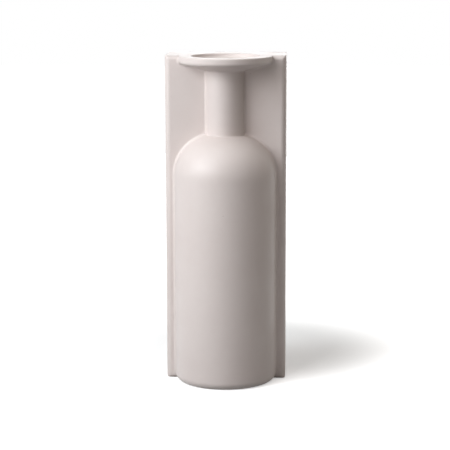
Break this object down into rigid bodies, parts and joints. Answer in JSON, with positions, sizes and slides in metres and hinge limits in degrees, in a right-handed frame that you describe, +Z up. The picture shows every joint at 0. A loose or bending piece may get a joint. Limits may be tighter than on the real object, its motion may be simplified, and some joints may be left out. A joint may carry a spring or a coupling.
{
  "type": "wall vase",
  "caption": "Satin ceramic wall vase: a round bottle with a wide flat lip stands half out of a tall flat-backed block, which hangs by a keyhole or stands on its foot.",
  "frame": {"origin": "middle of the footprint, on the surface that the vase stands on", "axes": "+Z up along the bottle, +Y out of the flat back towards the wall, front towards -Y"},
  "size_m": [0.1194, 0.1064, 0.325],
  "materials": {
    "satin_glaze": "satin"
  },
  "bodies": {
    "root": {"base_slab": "satin_glaze", "bottle_cylinder": "satin_glaze", "bottle_shoulder": "satin_glaze", "neck_tube": "satin_glaze", "lip_collar": "satin_glaze", "face_panel_left": "satin_glaze", "face_panel_right": "satin_glaze", "side_panel_left": "satin_glaze", "side_panel_right": "satin_glaze", "back_panel": "satin_glaze", "top_deck": "satin_glaze"}
  },
  "joints": []
}
